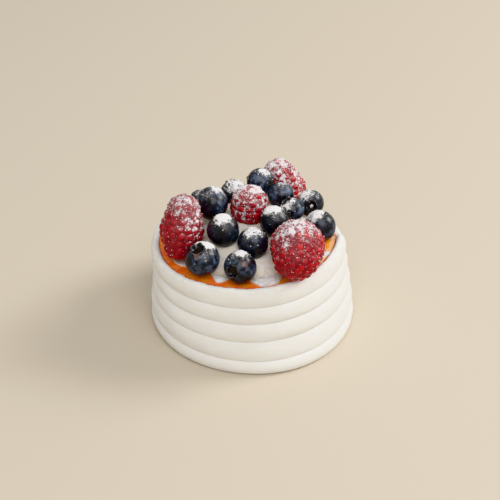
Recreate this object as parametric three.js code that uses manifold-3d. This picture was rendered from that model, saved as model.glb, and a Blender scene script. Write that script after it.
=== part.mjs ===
// A mini pavlova: a meringue nest piped in rings, filled with orange curd and whipped cream,
// and heaped with raspberries and blueberries. Millimetres, +Z up, the nest's flat foot at z = 0.

import * as THREE from "three";
import { ConvexGeometry } from "three/addons/geometries/ConvexGeometry.js";
import { ConvexHull } from "three/addons/math/ConvexHull.js";
import { mergeVertices } from "three/addons/utils/BufferGeometryUtils.js";
import Module from "manifold-3d";

const wasm = await Module();
wasm.setup();

// Driving dimensions of the nest
const grooveHeights = [6.5, 15.4, 23.4, 30.8]; // the creases between the five piped rings
const grooveRadii = [40, 39.5, 38.6, 38.1];
const footRadius = 39.7;
const footRounding = 0.6; // the lowest ring rolls under to the foot
const ringBulge = 1.05; // how far a piped ring swells past its creases
const rimHeight = 38.9;
const rimCrestRadius = 37.1;
const rimInnerRadius = 35.3;
const rimRolls = 0.8; // height over which the rim turns down into the recess
const recessRadius = 33.4;
const recessFloor = 31;
const nestSegments = 45;

// The nest leans a little to the left as it rises, and its rim stands higher on the right.
const leanPerHeight = -0.055;
const rimTilt = 0.045;
// The piped rope ends on the right. Behind its end the rim lies lower and climbs again round the back.
const ropeEnd = { drop: 6.5, from: -8, to: 12, climbsFrom: 20, climbsTo: 185, inner: 24, outer: 33 };

// The filling
const gap = 0.3; // clear space between pieces that touch
const curdLevel = 37.1;
const creamSole = 35.2;
const creamEdgeLevel = 37.6;
const creamCrown = 9; // how far the mound rises above its edge
const creamReach = 28.5; // from the middle to the edge of its mound
const fillingSegments = 45;
// Flat tongues of cream that run out over the curd: degrees from +X, half-width in degrees, added reach
const creamTongues = [
  [22, 14, 2.4],
  [58, 10, 2],
  [97, 16, 3.2],
  [150, 13, 2.8],
  [209, 13, 4],
  [250, 6, 4.7],
  [284.5, 11, 7.4],
  [326, 10, 7.4],
];
const creamLimit = 33.7; // where the nest's wall stops the longest tongues

// The berries
const pressedIn = 1.2; // how deep a berry sits in the cream, where it has no depth of its own
const facetSlack = 0.2; // what the flat sides of a dent take off its depth
const rowPitch = 0.84; // row to row along a raspberry, in drupelet diameters
const domeHeight = 0.58; // a drupelet's own radius, in drupelet diameters
const domeVariety = 0.04;
const creaseDepth = 0.62; // how deep drupelets part, in their own radii
const shoulder = { out: 0.74, up: 0.67 }; // the bend of a dome's side, in its own radii
const baseAngle = 132; // where a raspberry's open end is cut, in degrees from its tip
const blueberryFlatness = 0.9; // height over width
const blueberrySides = 15; // three to each point of the crown
const crownWidth = 0.36; // a blueberry's crown, in its own radii

// Roughly where the middle of each berry is, and where its crown or tip points. They are then eased apart.
// A raspberry's body is the hull of balls along its axis, given as [distance towards the tip, radius].
const berries = [
  { name: "blueberry_01", at: [-20.4, -21.8, 45], radius: 6.8, crown: [-0.27, -0.25, 0.93] },
  { name: "blueberry_02", at: [-3.8, -27, 44], radius: 6.4, crown: [-0.49, -0.84, 0.25] },
  { name: "blueberry_03", at: [0.4, -17.6, 47.8], radius: 6.1, crown: [0.3, 0.85, -0.45], pressed: 2.6 },
  { name: "blueberry_04", at: [-10.6, -13.4, 49.8], radius: 6.5, crown: [0.5, 0.85, -0.2] },
  { name: "blueberry_05", at: [4.8, -10.8, 50.4], radius: 6.4, crown: [0.7, 0.6, 0.3] },
  { name: "blueberry_06", at: [26.5, -3, 44.2], radius: 6.3, crown: [0.5, 0.8, -0.3] },
  { name: "blueberry_07", at: [23, 9, 47.5], radius: 5.4, crown: [0.07, -0.94, 0.33] },
  { name: "blueberry_08", at: [15.5, 1.5, 49.5], radius: 5.1, crown: [-0.5, 0.2, 0.8] },
  { name: "blueberry_09", at: [-19.2, 9.2, 47.5], radius: 5.6, crown: [-0.5, 0.8, 0.2] },
  { name: "blueberry_10", at: [-4.6, 16.6, 49], radius: 5.5, crown: [-0.2, 0.9, 0.3] },
  { name: "blueberry_11", at: [3.7, 19.8, 49.5], radius: 5.8, crown: [-0.7, 0.6, -0.3] },
  { name: "blueberry_12", at: [10, 13.5, 49.5], radius: 5.3, crown: [0.3, 0.6, -0.7] },
  { name: "blueberry_13", at: [-16, 2.4, 51.5], radius: 6.7, crown: [0.75, 0.6, -0.2] },
  {
    name: "raspberry_left",
    at: [-25, -12.4, 46.8],
    tip: [0.1, 0.5, 0.86],
    balls: [[8.2, 6.8], [0.8, 8.9], [-5.4, 6.6]],
    drupelet: 3.8,
  },
  {
    name: "raspberry_centre",
    at: [-0.7, -2.2, 50.3],
    tip: [0.05, 0.1, 0.99],
    balls: [[2.4, 7.3], [0, 7.7], [-4, 5.2]],
    drupelet: 4,
    pressed: 5,
  },
  {
    name: "raspberry_back",
    at: [10, 26, 45.2],
    tip: [-0.4, 0.15, 0.9],
    balls: [[3.6, 6.6], [-2, 8.4]],
    drupelet: 3.9,
  },
  {
    name: "raspberry_front",
    at: [15.2, -24, 49.6],
    tip: [-0.1, -0.9, -0.25],
    balls: [[3.5, 9.1], [-1.3, 10.7]],
    drupelet: 3.7,
  },
];
const easingPasses = 120;

const finishes = {
  meringue: new THREE.MeshStandardMaterial({ color: 0xe9e5dc, roughness: 0.85, metalness: 0 }),
  curd: new THREE.MeshStandardMaterial({ color: 0xe0700c, roughness: 0.25, metalness: 0 }),
  cream: new THREE.MeshStandardMaterial({ color: 0xeee6dc, roughness: 0.5, metalness: 0 }),
  raspberry: new THREE.MeshStandardMaterial({ color: 0xa8141f, roughness: 0.35, metalness: 0 }),
  blueberry: new THREE.MeshStandardMaterial({ color: 0x1f2636, roughness: 0.45, metalness: 0 }),
};

const up = new THREE.Vector3(0, 0, 1);

function solidFrom(geometry) {
  const bare = new THREE.BufferGeometry().setAttribute("position", geometry.getAttribute("position"));
  const merged = mergeVertices(bare.setIndex(geometry.index), 1e-3);
  return new wasm.Manifold(
    new wasm.Mesh({
      numProp: 3,
      vertProperties: merged.attributes.position.array,
      triVerts: new Uint32Array(merged.index.array),
    }),
  );
}

function geometryFrom(solid) {
  const mesh = solid.getMesh();
  const geometry = new THREE.BufferGeometry();
  geometry.setAttribute("position", new THREE.BufferAttribute(mesh.vertProperties, 3));
  geometry.setIndex(new THREE.BufferAttribute(mesh.triVerts, 1));
  geometry.computeVertexNormals();
  return geometry;
}

// A solid of revolution about +Z, from [radius, height] pairs that run from the axis back to the axis.
function turned(profile, segments) {
  const points = profile.map(([radius, height]) => new THREE.Vector2(radius, height));
  return new THREE.LatheGeometry(points, segments).rotateX(Math.PI / 2);
}

function moveVertices(geometry, move) {
  const position = geometry.getAttribute("position");
  const point = new THREE.Vector3();
  for (let i = 0; i < position.count; i++) {
    move(point.fromBufferAttribute(position, i));
    position.setXYZ(i, point.x, point.y, point.z);
  }
  return geometry;
}

// How far the rim has dropped behind the end of the rope, fading towards the middle of the nest.
function ropeDrop({ x, y }) {
  const degrees = THREE.MathUtils.radToDeg(Math.atan2(y, x));
  const round = THREE.MathUtils.euclideanModulo(degrees + 90, 360) - 90;
  const fallen = THREE.MathUtils.smoothstep(round, ropeEnd.from, ropeEnd.to);
  const climbed = THREE.MathUtils.smoothstep(round, ropeEnd.climbsFrom, ropeEnd.climbsTo);
  const outward = THREE.MathUtils.smoothstep(Math.hypot(x, y), ropeEnd.inner, ropeEnd.outer);
  return ropeEnd.drop * fallen * (1 - climbed) * outward;
}

// The nest's own unevenness, which its filling follows: nothing at the foot, most at the rim.
function settleUnevenly(point) {
  const angle = Math.atan2(point.y, point.x);
  const risen = Math.max(0, point.z / rimHeight);
  const wobble = 1 + risen * (0.006 * Math.sin(2 * angle + 0.8) + 0.004 * Math.sin(5 * angle + 2.1));
  point.z += risen * risen * (rimTilt * point.x - ropeDrop(point)) + 0.35 * risen * Math.sin(3 * angle + 1.3);
  point.x = point.x * wobble + leanPerHeight * point.z;
  point.y *= wobble;
}

// The nest's section: four swelling rings, then the top one, which rolls in over the rim to the recess.
function nestProfile() {
  const profile = [[0, 0], [footRadius, 0]];
  const heights = [footRounding, ...grooveHeights];
  const radii = [footRadius + footRounding, ...grooveRadii];
  for (let ring = 0; ring + 1 < heights.length; ring++) {
    for (const step of [0, 0.2, 0.5, 0.8]) {
      const swell = ringBulge * Math.sqrt(Math.sin(Math.PI * step));
      profile.push([
        THREE.MathUtils.lerp(radii[ring], radii[ring + 1], step) + swell,
        THREE.MathUtils.lerp(heights[ring], heights[ring + 1], step),
      ]);
    }
  }
  const topRadius = grooveRadii.at(-1);
  const topHeight = rimHeight - grooveHeights.at(-1);
  const heightOn = (share) => rimHeight - topHeight * (1 - share);
  profile.push([topRadius, heightOn(0)]);
  profile.push([topRadius + 0.7 * ringBulge, heightOn(0.17)]);
  profile.push([topRadius + 0.7 * ringBulge, heightOn(0.52)]);
  profile.push([topRadius, heightOn(0.82)]);
  profile.push([rimCrestRadius, rimHeight]);
  profile.push([rimInnerRadius + 0.6, rimHeight - 0.1]);
  profile.push([rimInnerRadius, rimHeight - rimRolls]);
  profile.push([recessRadius, recessFloor]);
  profile.push([0, recessFloor]);
  return profile;
}

function meringueNest() {
  return moveVertices(turned(nestProfile(), nestSegments), settleUnevenly);
}

// How far the cream reaches from the middle at an angle.
function creamEdge(angle) {
  const spread = creamTongues.reduce((reach, [degrees, halfWidth, added]) => {
    const turned = THREE.MathUtils.radToDeg(angle) - degrees;
    const turn = THREE.MathUtils.euclideanModulo(turned + 180, 360) - 180;
    return reach + added * Math.exp(-((turn / halfWidth) ** 2));
  }, creamReach);
  return Math.min(spread, creamLimit);
}

function creamTop(radius) {
  const share = Math.min(1, radius / creamReach);
  return creamEdgeLevel + creamCrown * (1 - share * share) ** 0.65;
}

// Turned as a disc one millimetre in radius and drawn out to its tongues. Points below its sole are its top.
function creamMound() {
  const upperShares = [0.98, 0.92, 0.8, 0.65, 0.5, 0.35, 0.18, 0];
  const profile = [
    [0, creamSole],
    [1, creamSole],
    [1, curdLevel + 0.2],
    ...upperShares.map((share) => [share, 0]),
  ];
  return moveVertices(turned(profile, fillingSegments), (point) => {
    const angle = Math.atan2(point.y, point.x);
    const radius = Math.hypot(point.x, point.y) * creamEdge(angle);
    if (point.z < creamSole - 1) point.z = creamTop(radius);
    point.x = radius * Math.cos(angle);
    point.y = radius * Math.sin(angle);
    settleUnevenly(point);
  });
}

// The curd fills the recess, with a hollow one millimetre in radius that is drawn out to take the cream.
function curdPool() {
  const wallAt = (height) => {
    const share = THREE.MathUtils.inverseLerp(recessFloor, rimHeight - rimRolls, height);
    return THREE.MathUtils.lerp(recessRadius, rimInnerRadius, share) - gap - 0.1;
  };
  const hollow = 1;
  const profile = [
    [0, recessFloor + gap],
    [wallAt(recessFloor), recessFloor + gap],
    [wallAt(curdLevel), curdLevel],
    [hollow, curdLevel],
    [hollow, creamSole - gap],
    [0, creamSole - gap],
  ];
  return moveVertices(turned(profile, fillingSegments), (point) => {
    if (Math.hypot(point.x, point.y) < 2 * hollow) {
      const reach = creamEdge(Math.atan2(point.y, point.x)) + gap;
      point.x *= reach;
      point.y *= reach;
    }
    settleUnevenly(point);
  });
}

// A blueberry about the origin with its crown towards +Z: a flattened ball with a five-pointed cup.
function blueberryGeometry(radius) {
  const height = blueberryFlatness * radius;
  const crownRadius = crownWidth * radius;
  const profile = [[0, -height]];
  const steps = 5;
  for (let i = 1; i <= steps; i++) {
    const polar = THREE.MathUtils.lerp(Math.PI, 0.42, i / steps);
    profile.push([radius * Math.sin(polar), height * Math.cos(polar)]);
  }
  profile.push([crownRadius, height * 1.04]);
  profile.push([crownRadius * 0.72, height * 0.86]);
  profile.push([0, height * 0.82]);
  return moveVertices(turned(profile, blueberrySides), (point) => {
    if (point.z < height * 1.02) return;
    const lobe = Math.cos(5 * Math.atan2(point.y, point.x));
    point.z -= 0.05 * radius * (1 - lobe);
    point.x *= 1 + 0.1 * lobe;
    point.y *= 1 + 0.1 * lobe;
  });
}

// The outline of a raspberry's body from its tip to its cut end, as [across, along] points.
function raspberryOutline(balls) {
  const points = [];
  for (let degrees = 0; degrees <= baseAngle; degrees += 3) {
    const angle = THREE.MathUtils.degToRad(degrees);
    const reach = ([along, radius]) => along * Math.cos(angle) + radius;
    const [along, radius] = balls.reduce((best, ball) => (reach(ball) > reach(best) ? ball : best));
    points.push(new THREE.Vector2(radius * Math.sin(angle), along + radius * Math.cos(angle)));
  }
  return new THREE.Path(points);
}

// Where each drupelet sits: rows round the outline, every other row half a drupelet on.
// The matching point on a ball serves to find its neighbours. The last seat closes the cut end.
function drupeletSeats({ balls, drupelet }) {
  const outline = raspberryOutline(balls);
  const rows = Math.round(outline.getLength() / (drupelet * rowPitch));
  const seats = [];
  for (let row = 0; row <= rows; row++) {
    const place = outline.getPointAt(row / rows);
    const along = outline.getTangentAt(row / rows);
    const count = Math.max(1, Math.round((2 * Math.PI * (place.x - 0.25 * drupelet)) / drupelet));
    const polar = THREE.MathUtils.degToRad((150 * row) / rows);
    for (let i = 0; i < count; i++) {
      const angle = (2 * Math.PI * (i + (row % 2) / 2)) / count;
      const round = new THREE.Vector3(Math.cos(angle), Math.sin(angle), 0);
      seats.push({
        top: round.clone().multiplyScalar(place.x).setZ(place.y),
        facing: row ? round.clone().multiplyScalar(-along.y).setZ(along.x) : up.clone(),
        onBall: round.clone().multiplyScalar(Math.sin(polar)).setZ(Math.cos(polar)),
        radius: drupelet * (domeHeight + domeVariety * Math.sin(7 * seats.length)),
      });
    }
  }
  const down = up.clone().negate();
  const cut = outline.getPointAt(1).y + domeHeight * 0.5 * drupelet;
  seats.push({ top: new THREE.Vector3(0, 0, cut), facing: down, onBall: down.clone(), radius: 0 });
  for (const seat of seats) {
    seat.middle = seat.top.clone().addScaledVector(seat.facing, -seat.radius);
    seat.foot = seat.top.clone().addScaledVector(seat.facing, -creaseDepth * seat.radius);
  }
  return seats;
}

// Where a dome's side bends on its way to a crease.
function shoulderPoint({ middle, facing, radius }, crease) {
  const out = crease.clone().sub(middle);
  if (radius === 0) return middle.clone().addScaledVector(out, 0.5);
  out.addScaledVector(facing, -out.dot(facing)).setLength(shoulder.out * radius);
  return middle.clone().add(out).addScaledVector(facing, shoulder.up * radius);
}

// A raspberry about the middle of its body, tip towards +Z: a dome on every seat, with creases between them.
function raspberryGeometry(berry) {
  const seats = drupeletSeats(berry);
  const seatOf = new Map(seats.map((seat) => [seat.onBall, seat]));
  const { faces } = new ConvexHull().setFromPoints([...seatOf.keys()]);
  const edgesOf = (face) => [0, 1, 2].map((i) => face.getEdge(i));
  for (const face of faces) {
    face.crease = new THREE.Vector3();
    for (const edge of edgesOf(face)) face.crease.addScaledVector(seatOf.get(edge.head().point).foot, 1 / 3);
  }
  const corners = [];
  for (const face of faces) {
    for (const edge of edgesOf(face)) {
      const seat = seatOf.get(edge.tail().point);
      const [left, right] = [face.crease, edge.twin.face.crease];
      const [leftBend, rightBend] = [shoulderPoint(seat, left), shoulderPoint(seat, right)];
      corners.push(seat.top, rightBend, leftBend);
      corners.push(rightBend, right, left);
      corners.push(rightBend, left, leftBend);
    }
  }
  return new THREE.BufferGeometry().setFromPoints(corners);
}

// Balls that stand for a berry while the heap is eased apart.
function standInBalls(berry) {
  if (berry.crown) return [{ offset: new THREE.Vector3(), radius: berry.radius }];
  const tip = new THREE.Vector3(...berry.tip).normalize();
  return berry.balls.map(([along, radius]) => ({ offset: tip.clone().multiplyScalar(along), radius }));
}

// The least move that takes a ball out of the cream and off the rim, whose crest is a round bead.
function moveOffNest({ x, y, z }, radius, pressed) {
  const foot = new THREE.Vector2(x - leanPerHeight * rimHeight, y);
  const tilt = rimTilt * foot.x - ropeDrop(foot);
  const bed = Math.max(creamTop(foot.length()) - pressed, curdLevel + gap);
  const sunk = tilt + bed - (z - radius);
  if (sunk > 0) return new THREE.Vector3(0, 0, sunk);
  const bead = { radius: 2.2, across: rimCrestRadius - 0.4, level: rimHeight - 2.1 };
  const fromRim = new THREE.Vector2(foot.length() - bead.across, z - tilt - bead.level);
  const short = radius + bead.radius - fromRim.length();
  if (short <= 0) return new THREE.Vector3();
  fromRim.setLength(short);
  foot.setLength(fromRim.x);
  return new THREE.Vector3(foot.x, foot.y, fromRim.y);
}

// Eases two berries off each other, half each.
function pushApart(berry, other) {
  for (const ball of berry.standIns) {
    for (const otherBall of other.standIns) {
      const apart = berry.middle.clone().add(ball.offset).sub(other.middle).sub(otherBall.offset);
      const short = ball.radius + otherBall.radius + gap - apart.length();
      if (short <= 0) continue;
      berry.middle.add(apart.setLength(short / 2));
      other.middle.sub(apart);
    }
  }
}

function easeApart(heap) {
  for (let pass = 0; pass < easingPasses; pass++) {
    for (const [i, berry] of heap.entries()) {
      for (const { offset, radius } of berry.standIns) {
        berry.middle.add(moveOffNest(berry.middle.clone().add(offset), radius, berry.pressed ?? pressedIn));
      }
      for (const other of heap.slice(i + 1)) pushApart(berry, other);
    }
  }
}

function berryMesh(berry) {
  const [geometry, finish, direction] = berry.crown
    ? [blueberryGeometry(berry.radius), finishes.blueberry, berry.crown]
    : [raspberryGeometry(berry), finishes.raspberry, berry.tip];
  const mesh = new THREE.Mesh(geometry, finish);
  mesh.name = berry.name;
  mesh.quaternion.setFromUnitVectors(up, new THREE.Vector3(...direction).normalize());
  mesh.position.copy(berry.middle);
  return mesh;
}

function cornersOf(geometry) {
  const position = geometry.getAttribute("position");
  const cornerAt = (_, i) => new THREE.Vector3().fromBufferAttribute(position, i);
  return Array.from({ length: position.count }, cornerAt);
}

// The room that a berry takes up in the cream: the hull of its balls, grown by the gap.
function dentFor({ middle, standIns }) {
  const points = standIns.flatMap(({ offset, radius }) => {
    const { x, y, z } = middle.clone().add(offset);
    const ball = new THREE.IcosahedronGeometry(radius + gap + facetSlack, 2).translate(x, y, z);
    return cornersOf(mergeVertices(ball.deleteAttribute("normal").deleteAttribute("uv")));
  });
  return solidFrom(new ConvexGeometry(points));
}

function dentedCream(heap) {
  return geometryFrom(heap.reduce((mound, berry) => mound.subtract(dentFor(berry)), solidFrom(creamMound())));
}

const heap = berries.map((berry) => ({
  ...berry,
  middle: new THREE.Vector3(...berry.at),
  standIns: standInBalls(berry),
}));
easeApart(heap);

const pavlova = new THREE.Group();
pavlova.name = "mini_pavlova";

function add(name, geometry, finish) {
  const mesh = new THREE.Mesh(geometry, finish);
  mesh.name = name;
  pavlova.add(mesh);
}

add("meringue_nest", meringueNest(), finishes.meringue);
add("orange_curd", curdPool(), finishes.curd);
add("whipped_cream", dentedCream(heap), finishes.cream);
for (const berry of heap) pavlova.add(berryMesh(berry));

export default pavlova;
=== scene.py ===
# %% [markdown]
# # A mini pavlova
# A meringue nest, piped in five rings, holds orange curd and whipped cream. Raspberries and
# blueberries are heaped on the cream, and icing sugar is sifted over them.
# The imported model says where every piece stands. It could be shown as it is, but its flat faces
# would show. So each piece is made again here with its true surface, in the same frame, and takes
# the place of the plain solid.

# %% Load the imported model
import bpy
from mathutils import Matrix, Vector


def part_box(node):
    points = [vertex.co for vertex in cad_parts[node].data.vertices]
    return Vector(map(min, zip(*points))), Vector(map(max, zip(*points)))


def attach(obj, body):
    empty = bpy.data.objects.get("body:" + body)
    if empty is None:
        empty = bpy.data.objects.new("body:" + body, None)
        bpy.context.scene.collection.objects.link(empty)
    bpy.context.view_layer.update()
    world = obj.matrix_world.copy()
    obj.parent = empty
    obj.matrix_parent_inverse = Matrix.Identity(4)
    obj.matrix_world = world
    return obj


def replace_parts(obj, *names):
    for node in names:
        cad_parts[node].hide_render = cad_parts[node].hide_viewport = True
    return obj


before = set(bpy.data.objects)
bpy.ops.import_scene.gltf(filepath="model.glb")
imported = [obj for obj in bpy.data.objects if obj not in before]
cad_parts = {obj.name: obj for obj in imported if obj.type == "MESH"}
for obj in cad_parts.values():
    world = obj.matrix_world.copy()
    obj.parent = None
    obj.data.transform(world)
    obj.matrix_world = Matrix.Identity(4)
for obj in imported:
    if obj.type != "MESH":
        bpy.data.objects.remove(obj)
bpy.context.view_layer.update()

# %% [markdown]
# ## Tools for the job
# Nearly everything in this dessert was turned, piped or grown round an axis. A profile that is
# turned about that axis makes such a body, with closed poles. Its points are then moved by a
# little, which is how a hand, an oven or a plant makes each one different.
# Blender's spin would turn a profile in one call, but it numbers the points another way in every
# run, and the crumbs of sugar are dealt out by those numbers. So the rings are set down one by one.
# The shapes are worked out in millimetres and made metres at the end.

# %% Turn a profile into a closed body
import math

import bmesh
import bpy
import numpy as np
from mathutils import Matrix, Vector, noise
from mathutils.bvhtree import BVHTree

MILLIMETRE = 0.001
UP = Vector((0, 0, 1))


def turned(profile, steps):
    """A closed body turned about +Z, from pairs of radius and height that begin on the axis at the
    bottom and end on it at the top."""
    body = bmesh.new()
    turns = [math.tau * step / steps for step in range(steps)]
    rings = []
    for radius, height in profile:
        if radius > 0:
            places = [(radius * math.cos(turn), radius * math.sin(turn), height) for turn in turns]
            rings.append([body.verts.new(place) for place in places])
        else:
            rings.append([body.verts.new((0, 0, height))] * steps)
    for low, high in zip(rings, rings[1:]):
        for step in range(steps):
            corners = dict.fromkeys((low[step - 1], low[step], high[step], high[step - 1]))
            body.faces.new(tuple(corners))
    return body


def mesh_of(body, name):
    mesh = bpy.data.meshes.new(name)
    body.to_mesh(mesh)
    body.free()
    mesh.shade_smooth()
    return mesh


# %% Make an object or a material
def new_object(name, data):
    thing = bpy.data.objects.new(name, data)
    bpy.context.scene.collection.objects.link(thing)
    return thing


def new_material(name, meshes):
    """Gives the material's node tree and its shader."""
    material = bpy.data.materials.new(name)
    material.use_nodes = True
    for mesh in meshes:
        mesh.materials.append(material)
    return material.node_tree, material.node_tree.nodes["Principled BSDF"]


# %% Read, move and mark the points of a mesh
def rows_of(items, name, size=3):
    """One row of numbers for each vertex or face of a mesh."""
    values = np.empty(size * len(items), np.float32)
    items.foreach_get(name, values)
    return values.reshape(-1, size).astype(float)


def points_of(mesh):
    return rows_of(mesh.vertices, "co")


def normals_of(mesh):
    return rows_of(mesh.vertex_normals, "vector")


def move_points(mesh, points):
    mesh.vertices.foreach_set("co", points.astype(np.float32).ravel())
    mesh.update()


def mark(mesh, name, values):
    """One number at each point, for the finishes and the crumbs to read."""
    mesh.attributes.new(name, "FLOAT", "POINT").data.foreach_set("value", values.astype(np.float32))


# %% Soft shapes for numbers
def polar(points):
    """How far each point is from the axis, and its angle about it in radians."""
    return np.hypot(points[:, 0], points[:, 1]), np.arctan2(points[:, 1], points[:, 0])


def hills(points, size, seed):
    """Smooth noise from about -1 to 1 at each point, with hills some `size` millimetres apart."""
    shift = Vector((seed, 2 * seed, 3 * seed))
    return np.array([noise.noise(Vector(point) / size + shift) for point in points])


def eased(values, low, high):
    """0 below low, 1 above high, and a smooth step between them."""
    share = np.clip((values - low) / (high - low), 0, 1)
    return share * share * (3 - 2 * share)


def band(values, rise, fall):
    """1 between a smooth rise and a smooth fall, each given by where it begins and ends."""
    return eased(values, *rise) * (1 - eased(values, *fall))


def bell(values, middle, width):
    """1 at the middle, fading to both sides of it."""
    return np.exp(-(((values - middle) / width) ** 2))


# %% Put a finished piece in the place of its plain solid
def put_in_scene(name, mesh):
    mesh.transform(Matrix.Scale(MILLIMETRE, 4))
    piece = new_object(name, mesh)
    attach(piece, "root")
    print(name, "has", len(mesh.loops) - 2 * len(mesh.polygons), "triangles")
    return piece


def stand_in(name, mesh, node):
    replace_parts(put_in_scene(name, mesh), node)


# %% [markdown]
# ## The camera
# It looks down on the pavlova from the front, a little steeper than a person at a table would.
# It is made first, so that every piece can be looked at as soon as it is there. The distance and
# the lens come from how strongly the piped rings curve: a long lens, from six tenths of a metre.

# %% Set the camera
camera_rise = math.radians(38.18)
camera_distance = 0.6
camera_look_down = math.radians(35.78)
camera_turn = math.radians(0.135)
camera = new_object("camera", bpy.data.cameras.new("camera"))
camera.location = (0, -camera_distance * math.cos(camera_rise), camera_distance * math.sin(camera_rise))
camera.rotation_euler = (math.pi / 2 - camera_look_down, 0, camera_turn)
camera.data.sensor_width = 36
camera.data.lens = 104.28
bpy.context.scene.camera = camera
print("the camera is", round(camera_distance * 1000), "mm from the middle of the foot")

# %% [markdown]
# ## The light
# The picture has one large soft light from the right and slightly behind, about 39 degrees up. A
# broad window in front and a bright room fill the shadows. The floor is plain and pale.
# A sun lamp would give hard shadows, so area lamps stand for the soft box and the window, and the
# world's own light for the room. The neutral view keeps bright whites from burning out.

# %% Set the light and the floor
def area_lamp(name, bearing, distance, size, power, color):
    lamp = new_object(name, bpy.data.lights.new(name, "AREA"))
    bearing = Vector(bearing).normalized()
    lamp.location = bearing * distance
    lamp.rotation_euler = bearing.to_track_quat("Z", "Y").to_euler()
    lamp.data.size = size
    lamp.data.energy = power
    lamp.data.color = color


area_lamp("soft_box", bearing=(0.756, 0.179, 0.629), distance=1.3, size=0.5, power=9.7,
          color=(0.995, 1, 1.01))
area_lamp("window", bearing=(0.05, -0.57, 0.82), distance=1.4, size=1, power=9.5, color=(1, 0.997, 0.995))
world = bpy.data.worlds.new("room")
world.use_nodes = True
room_light = world.node_tree.nodes["Background"].inputs
room_light["Color"].default_value = (1, 0.985, 0.945, 1)
room_light["Strength"].default_value = 0.52
bpy.context.scene.world = world
bpy.context.scene.view_settings.view_transform = "Khronos PBR Neutral"

floor_sheet = bmesh.new()
bmesh.ops.create_grid(floor_sheet, x_segments=1, y_segments=1, size=4)
floor = new_object("floor", mesh_of(floor_sheet, "floor"))
tree, shader = new_material("floor_paint", [floor.data])
shader.inputs["Base Color"].default_value = (0.62, 0.55, 0.45, 1)
shader.inputs["Roughness"].default_value = 0.9
print("a soft box, a window, a bright room and a pale floor")

# %% [markdown]
# ## The piped nest
# The nest is meringue piped in five rings, one on the other, and dried in the oven. Each ring
# swells a little past the thin crease that parts it from the next, and the top one rolls in over
# the rim to the recess that takes the filling.
# Five rings could be made one by one and stacked, but one profile with all the swells in it, turned
# round, is closed from the start and meets at every crease.

# %% Measures of the nest, in millimetres
foot_radius = 39.7
foot_rounding = 0.6
ring_bulge = 1.15
# how wide and how high the creases between the rings are
creases = [[40, 6.5], [39.5, 15.4], [38.6, 23.4], [38.1, 30.8]]
rim_height = 38.9
rim_inner_radius = 35.3
recess_radius = 33.4
recess_floor = 31
lean_per_height = -0.055
rim_tilt = 0.045
# behind the end of the rope the rim lies lower: how far it drops, where it falls and climbs again in
# degrees round from the right, and at which radii the drop fades towards the middle
rope_drop = 6.5
drop_falls, drop_climbs, drop_fades = (-8, 12), (20, 185), (24, 33)


# %% The nest's section
def ring_wall(low, high, steps):
    """The swelling side of one ring between two creases, each given as [radius, height]."""
    wall = []
    for step in range(steps):
        share = 0.5 - 0.5 * math.cos(math.pi * step / steps)
        swell = ring_bulge * math.sin(math.pi * share) ** 0.62
        wall.append([low[0] + share * (high[0] - low[0]) + swell, low[1] + share * (high[1] - low[1])])
    return wall


def smooth_line(corners, steps):
    """A soft curve along corners: each step cuts every corner off between its quarters."""
    points = np.array(corners, float)
    for _ in range(steps):
        near = 0.75 * points[:-1] + 0.25 * points[1:]
        far = 0.25 * points[:-1] + 0.75 * points[1:]
        inner = np.stack([near, far], 1).reshape(-1, 2)
        points = np.vstack([points[:1], inner[1:-1], points[-1:]])
    return points.tolist()


ends = [[foot_radius + foot_rounding, foot_rounding], *creases]
sole = [[0, 0], *[[foot_radius * share, 0] for share in (0.3, 0.6, 0.85, 0.97)], [foot_radius, 0]]
side = [point for low, high in zip(ends, ends[1:]) for point in ring_wall(low, high, steps=14)]
roll = smooth_line([
    [38.1, 30.8], [38.55, 31.3], [38.9, 33.2], [38.85, 35.4], [38.4, 37.5], [37.6, 38.8], [36.5, 39.0],
    [35.45, 38.5], [35.1, 37.2], [rim_inner_radius - 0.6, 35.4], [recess_radius, recess_floor],
], steps=3)
recess = [[recess_radius * share, recess_floor] for share in (0.9, 0.6, 0.3, 0)]
nest_section = sole + side + roll + recess
print("the section has", len(nest_section), "points")


# %% [markdown]
# No nest comes out of the oven quite round. This one leans a little to the left as it rises, and
# its rim stands higher on the right. The piped rope ends there, so behind its end the rim lies lower,
# and climbs again round the back. The piping hand lets every ring wander by some tenths of a
# millimetre. The fillings follow the nest, so these large moves are a helper of their own.

# %% Let the nest lean and wander
def drop_behind_rope(points):
    """How far the rim has dropped behind the end of the rope."""
    radius, angle = polar(points)
    turn = (np.degrees(angle) + 90) % 360 - 90
    return rope_drop * band(turn, drop_falls, drop_climbs) * eased(radius, *drop_fades)


def settle_unevenly(points):
    """Tilts the rim, drops it behind the rope's end, lets the whole lean, and leaves it not quite round."""
    angle = polar(points)[1]
    risen = np.maximum(0, points[:, 2] / rim_height)
    wobble = 1 + risen * (0.006 * np.sin(2 * angle + 0.8) + 0.004 * np.sin(5 * angle + 2.1))
    tilted = rim_tilt * points[:, 0] - drop_behind_rope(points)
    settled = points.copy()
    settled[:, 2] += risen**2 * tilted + 0.35 * risen * np.sin(3 * angle + 1.3)
    settled[:, 0] = settled[:, 0] * wobble + lean_per_height * settled[:, 2]
    settled[:, 1] *= wobble
    return settled


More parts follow.
